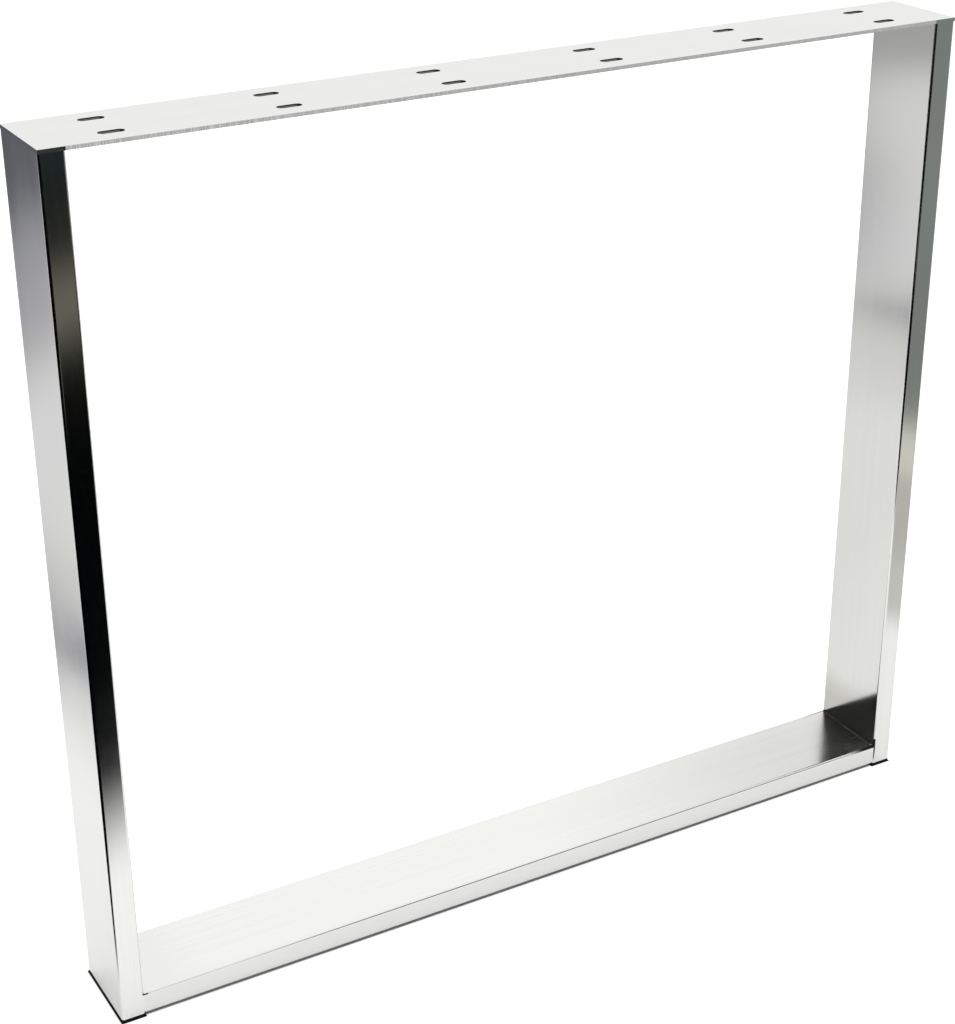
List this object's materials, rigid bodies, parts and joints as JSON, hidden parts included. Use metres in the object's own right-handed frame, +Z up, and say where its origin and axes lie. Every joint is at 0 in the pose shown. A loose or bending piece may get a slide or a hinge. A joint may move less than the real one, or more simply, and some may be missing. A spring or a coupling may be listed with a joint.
{
  "type": "table base",
  "caption": "Welded rectangular skid of flat brushed steel tube that carries one end of a table top, with a slotted fixing plate on top and plastic foot caps.",
  "frame": {"origin": "on the floor under the middle of the frame, centred in its width and depth", "axes": "+X along the frame's width, +Y through its depth, +Z up towards the table top"},
  "size_m": [0.8, 0.08, 0.73],
  "materials": {
    "plate_steel": "flat bar, fine brushed lengthwise, laser-cut edge",
    "tube_steel": "brushed lengthwise, semi-bright",
    "weld_steel": "weld metal, as laid in the inner corners and ground flush outside",
    "cap_plastic": "moulded matt black polyethylene"
  },
  "bodies": {
    "root": {"top_plate": "plate_steel", "left_leg": "tube_steel", "right_leg": "tube_steel", "lower_rail": "tube_steel", "left_foot_cap": "cap_plastic", "right_foot_cap": "cap_plastic", "corner_beads": "weld_steel", "ground_seams": "weld_steel"}
  },
  "joints": []
}
